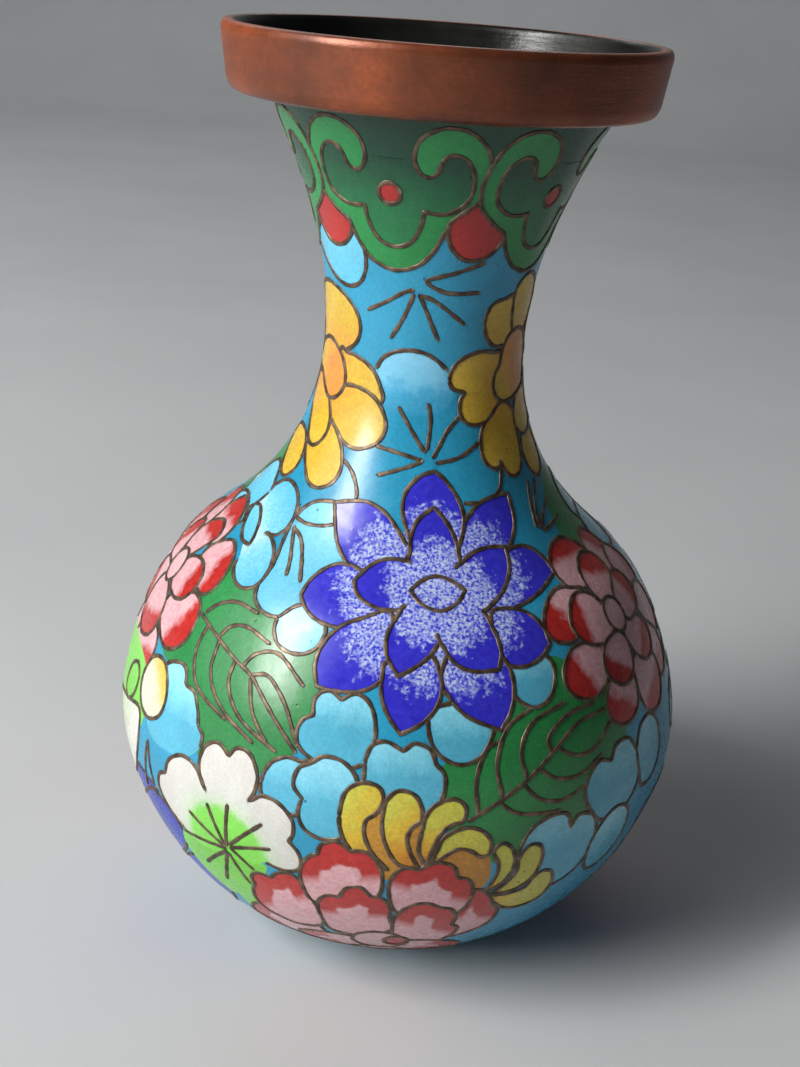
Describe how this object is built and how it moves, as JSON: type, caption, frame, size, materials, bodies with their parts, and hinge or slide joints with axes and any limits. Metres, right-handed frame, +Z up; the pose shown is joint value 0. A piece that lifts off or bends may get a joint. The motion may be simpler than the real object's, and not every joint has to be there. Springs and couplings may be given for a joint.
{
  "type": "cloisonne vase",
  "caption": "Small bulbous cloisonne vase with a waisted neck, flared mouth in a plain copper band, and flower cells of enamel fenced by flat wires.",
  "frame": {"origin": "centre of the foot ring's underside, on the vase's axis", "axes": "+Z up along the vase's axis, -Y towards the side with the blue lotus just right of centre"},
  "size_m": [0.0634, 0.0635, 0.1],
  "materials": {
    "copper": "aged copper alloy, polished flush",
    "patinated_copper": "aged copper alloy, polished flush",
    "grey_green_enamel": "fired, ground and polished, slightly pitted",
    "turquoise_enamel": "fired, ground and polished, slightly pitted",
    "dark_green_enamel": "fired, ground and polished, slightly pitted",
    "wire_metal": "aged copper alloy, polished flush",
    "light_green_enamel": "fired, ground and polished, slightly pitted",
    "green_enamel": "fired, ground and polished, slightly pitted",
    "red_enamel": "fired, ground and polished, slightly pitted",
    "pale_blue_enamel": "fired, ground and polished, slightly pitted",
    "yellow_enamel": "fired, ground and polished, slightly pitted",
    "orange_enamel": "fired, ground and polished, slightly pitted",
    "ultramarine_enamel": "fired, ground and polished, slightly pitted",
    "speckled_blue_enamel": "fired, ground and polished, slightly pitted",
    "pink_enamel": "fired, ground and polished, slightly pitted",
    "white_enamel": "fired, ground and polished, slightly pitted",
    "lime_enamel": "fired, ground and polished, slightly pitted",
    "cobalt_enamel": "fired, ground and polished, slightly pitted"
  },
  "bodies": {
    "root": {"copper_body_wall": "copper", "mouth_rim_band": "patinated_copper", "foot_ring": "patinated_copper", "inside_enamel": "grey_green_enamel", "base_enamel": "turquoise_enamel", "collar_ground_enamel": "dark_green_enamel", "neck_ground_enamel": "turquoise_enamel", "body_ground_enamel": "turquoise_enamel", "collar_cloud_wires": "wire_metal", "collar_cloud_bands": "light_green_enamel", "collar_cloud_fields": "green_enamel", "collar_red_dots": "red_enamel", "collar_red_pendants": "red_enamel", "collar_pendant_wires": "wire_metal", "neck_cut_wires": "wire_metal", "neck_half_discs": "pale_blue_enamel", "neck_flower_wires": "wire_metal", "neck_flower_petals": "yellow_enamel", "neck_flower_centres": "orange_enamel", "lotus_wires": "wire_metal", "lotus_outer_petals": "ultramarine_enamel", "lotus_inner_petals": "ultramarine_enamel", "lotus_eyes": "speckled_blue_enamel", "pink_flower_wires": "wire_metal", "pink_flower_outer_petals": "red_enamel", "pink_flower_inner_petals": "pink_enamel", "pink_flower_centres": "pink_enamel", "leaf_vein_wires": "wire_metal", "white_flower_wires": "wire_metal", "white_flower_petals": "white_enamel", "white_flower_centres": "lime_enamel", "cloud_wires": "wire_metal", "cloud_cells": "pale_blue_enamel", "pale_flower_wires": "wire_metal", "pale_flower_petals": "pale_blue_enamel", "pale_flower_eyes": "pale_blue_enamel", "quill_flower_wires": "wire_metal", "quill_flower_petals": "yellow_enamel", "peony_wires": "wire_metal", "peony_petals": "red_enamel", "peony_centres": "pink_enamel", "blue_flower_wires": "wire_metal", "blue_flower_petals": "cobalt_enamel"}
  },
  "joints": []
}
